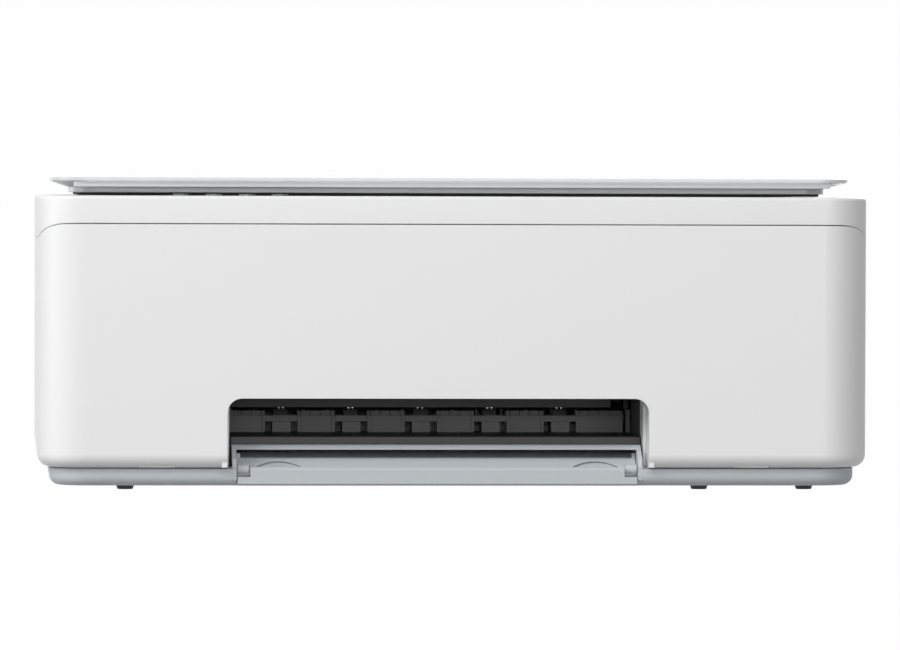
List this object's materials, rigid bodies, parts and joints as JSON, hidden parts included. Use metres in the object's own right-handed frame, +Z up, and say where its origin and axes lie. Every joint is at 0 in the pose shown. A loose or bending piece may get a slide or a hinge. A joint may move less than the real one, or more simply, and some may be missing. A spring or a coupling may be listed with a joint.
{
  "type": "inkjet printer",
  "caption": "Flat inkjet printer with paper cassette and output shelf in a front opening, scanner unit above and a hinged document lid.",
  "frame": {"origin": "middle of the casing's outline, on the table under the rubber feet", "axes": "+X to the right across the front, +Y to the back (the front with the paper opening faces -Y), +Z up"},
  "size_m": [0.456, 0.35, 0.1705],
  "materials": {
    "shell_white": "smooth satin, white",
    "base_grey": "fine moulded grain, blue-grey",
    "lid_grey": "fine moulded grain, pale grey",
    "dark_plastic": "matt moulded, dark grey",
    "black_plastic": "matt moulded, black",
    "white_gear": "natural acetal",
    "foam": "open foam",
    "white_pad": "smooth foam with a white film",
    "rubber": "matt rubber",
    "grey_rubber": "fine ground rubber",
    "steel": "zinc-plated sheet",
    "polished_steel": "ground and polished",
    "roller_coat": "grit-coated steel",
    "brass": "turned",
    "motor_can": "drawn can",
    "belt_rubber": "toothed belt",
    "clear_strip": "clear film",
    "circuit_green": "solder mask",
    "contact_metal": "plated sheet",
    "glass": "float glass",
    "ink_blue": "matt moulded, dark blue",
    "button_grey": "satin"
  },
  "bodies": {
    "frame": {"base_housing": "base_grey", "rubber_feet": "rubber", "outer_shell": "shell_white", "output_shelf": "dark_plastic", "output_liner": "dark_plastic", "eject_frame": "dark_plastic", "star_holder": "black_plastic", "platen": "dark_plastic", "platen_foam": "foam", "pinch_holder": "black_plastic", "mech_frame": "steel", "guide_rod": "polished_steel", "paper_motor": "motor_can", "carriage_belt": "belt_rubber", "carriage_motor": "motor_can", "encoder_strip": "clear_strip", "service_station": "dark_plastic", "power_supply": "black_plastic", "power_inlet": "black_plastic", "main_board": "circuit_green", "usb_port": "contact_metal", "paper_guide": "dark_plastic", "uturn_guide": "dark_plastic", "separation_ramp": "dark_plastic", "scanner_hinges": "steel"},
    "tray": {"paper_tray": "base_grey"},
    "flap": {"tray_flap": "base_grey"},
    "left_guide": {"left_width_guide": "dark_plastic"},
    "right_guide": {"right_width_guide": "dark_plastic"},
    "guide_pinion": {"guide_pinion": "white_gear"},
    "length_guide": {"length_guide": "dark_plastic"},
    "feed_roller": {"feed_roller": "roller_coat"},
    "eject_rollers": {"eject_rollers": "grey_rubber"},
    "idler_gear": {"idler_gear": "white_gear"},
    "motor_pinion": {"motor_pinion": "brass"},
    "pinch_rollers": {"pinch_rollers": "white_gear"},
    "star_wheels": {"star_wheels": "steel"},
    "carriage": {"carriage": "black_plastic", "black_cartridge": "black_plastic", "colour_cartridge": "ink_blue"},
    "drive_pulley": {"drive_pulley": "brass"},
    "idler_pulley": {"idler_pulley": "white_gear"},
    "cap_sled": {"cap_sled": "white_gear"},
    "pick_arm": {"pick_arm": "white_gear"},
    "pick_roller": {"pick_roller": "grey_rubber"},
    "rear_door": {"rear_door": "shell_white"},
    "scanner": {"scanner_tub": "lid_grey", "scanner_deck": "shell_white", "scanner_glass": "glass", "scan_rod": "polished_steel", "scan_belt": "belt_rubber", "scan_motor": "motor_can", "button_board": "circuit_green"},
    "scan_bar": {"scan_bar": "black_plastic"},
    "lid": {"document_lid": "lid_grey", "lid_pad": "white_pad"},
    "power_button": {"power_button": "button_grey"},
    "cancel_button": {"cancel_button": "button_grey"},
    "colour_button": {"colour_button": "button_grey"},
    "black_button": {"black_button": "button_grey"}
  },
  "joints": [
    {"name": "tray_slide", "type": "slide", "parent": "frame", "child": "tray", "axis": [0, -1, 0], "range_m": [0, 0.18]},
    {"name": "flap_hinge", "type": "hinge", "parent": "tray", "child": "flap", "pos_m": [-0.0093, -0.165, 0.005], "axis": [1, 0, 0], "range_deg": [0, 90]},
    {"name": "left_guide_slide", "type": "slide", "parent": "tray", "child": "left_guide", "axis": [1, 0, 0], "range_m": [0, 0.031]},
    {"name": "right_guide_slide", "type": "slide", "parent": "tray", "child": "right_guide", "axis": [-1, 0, 0], "range_m": [0, 0.031]},
    {"name": "guide_pinion_spin", "type": "hinge", "parent": "tray", "child": "guide_pinion", "pos_m": [-0.0093, -0.02, 0.0075], "axis": [0, 0, 1], "range_deg": [-5, 285]},
    {"name": "length_guide_slide", "type": "slide", "parent": "tray", "child": "length_guide", "axis": [0, 1, 0], "range_m": [0, 0.087]},
    {"name": "feed_spin", "type": "hinge", "parent": "frame", "child": "feed_roller", "pos_m": [-0.0093, -0.028, 0.0352], "axis": [1, 0, 0], "continuous": true},
    {"name": "eject_spin", "type": "hinge", "parent": "frame", "child": "eject_rollers", "pos_m": [-0.0093, -0.079, 0.0362], "axis": [1, 0, 0], "continuous": true},
    {"name": "idler_spin", "type": "hinge", "parent": "frame", "child": "idler_gear", "pos_m": [-0.0093, -0.05514, 0.0618], "axis": [1, 0, 0], "continuous": true},
    {"name": "motor_spin", "type": "hinge", "parent": "frame", "child": "motor_pinion", "pos_m": [-0.0093, -0.00343, 0.024], "axis": [1, 0, 0], "continuous": true},
    {"name": "pinch_spin", "type": "hinge", "parent": "frame", "child": "pinch_rollers", "pos_m": [-0.0093, -0.028, 0.04435], "axis": [1, 0, 0], "continuous": true},
    {"name": "star_spin", "type": "hinge", "parent": "frame", "child": "star_wheels", "pos_m": [-0.0093, -0.079, 0.04535], "axis": [1, 0, 0], "continuous": true},
    {"name": "carriage_slide", "type": "slide", "parent": "frame", "child": "carriage", "axis": [-1, 0, 0], "range_m": [0, 0.28]},
    {"name": "drive_pulley_spin", "type": "hinge", "parent": "frame", "child": "drive_pulley", "pos_m": [0.191, 0.0075, 0.09], "axis": [0, 1, 0], "continuous": true},
    {"name": "idler_pulley_spin", "type": "hinge", "parent": "frame", "child": "idler_pulley", "pos_m": [-0.152, 0.0075, 0.09], "axis": [0, 1, 0], "continuous": true},
    {"name": "cap_sled_slide", "type": "slide", "parent": "frame", "child": "cap_sled", "axis": [-1, 0, 0], "range_m": [0, 0.008]},
    {"name": "pick_arm_swing", "type": "hinge", "parent": "frame", "child": "pick_arm", "pos_m": [-0.0093, 0.052, 0.039], "axis": [1, 0, 0], "range_deg": [0, 8]},
    {"name": "pick_roller_spin", "type": "hinge", "parent": "pick_arm", "child": "pick_roller", "pos_m": [-0.0093, 0.098, 0.0192], "axis": [1, 0, 0], "continuous": true},
    {"name": "rear_door_hinge", "type": "hinge", "parent": "frame", "child": "rear_door", "pos_m": [-0.0093, 0.173, 0.0215], "axis": [-1, 0, 0], "range_deg": [0, 80]},
    {"name": "scanner_hinge", "type": "hinge", "parent": "frame", "child": "scanner", "pos_m": [0, 0.1695, 0.1384], "axis": [-1, 0, 0], "range_deg": [0, 35]},
    {"name": "scan_bar_slide", "type": "slide", "parent": "scanner", "child": "scan_bar", "axis": [1, 0, 0], "range_m": [0, 0.306]},
    {"name": "lid_hinge", "type": "hinge", "parent": "scanner", "child": "lid", "pos_m": [0, 0.158, 0.1652], "axis": [-1, 0, 0], "range_deg": [0, 80]},
    {"name": "power_button_press", "type": "slide", "parent": "scanner", "child": "power_button", "axis": [0, 0, -1], "range_m": [0, 0.0008], "stiffness_N_per_m": 800, "springref_m": -0.0004},
    {"name": "cancel_button_press", "type": "slide", "parent": "scanner", "child": "cancel_button", "axis": [0, 0, -1], "range_m": [0, 0.0008], "stiffness_N_per_m": 800, "springref_m": -0.0004},
    {"name": "colour_button_press", "type": "slide", "parent": "scanner", "child": "colour_button", "axis": [0, 0, -1], "range_m": [0, 0.0008], "stiffness_N_per_m": 800, "springref_m": -0.0004},
    {"name": "black_button_press", "type": "slide", "parent": "scanner", "child": "black_button", "axis": [0, 0, -1], "range_m": [0, 0.0008], "stiffness_N_per_m": 800, "springref_m": -0.0004}
  ],
  "couplings": [
    {"joint": "right_guide_slide", "follows": "left_guide_slide", "ratio": 1},
    {"joint": "guide_pinion_spin", "follows": "left_guide_slide", "rad_per_m": 151.52},
    {"joint": "eject_spin", "follows": "feed_spin", "ratio": 1.1765},
    {"joint": "idler_spin", "follows": "feed_spin", "ratio": -1.1111},
    {"joint": "motor_spin", "follows": "feed_spin", "ratio": -2.8571},
    {"joint": "pinch_spin", "follows": "feed_spin", "ratio": -2},
    {"joint": "star_spin", "follows": "feed_spin", "ratio": -1.4706},
    {"joint": "drive_pulley_spin", "follows": "carriage_slide", "rad_per_m": 151.52},
    {"joint": "idler_pulley_spin", "follows": "carriage_slide", "rad_per_m": 151.52}
  ]
}
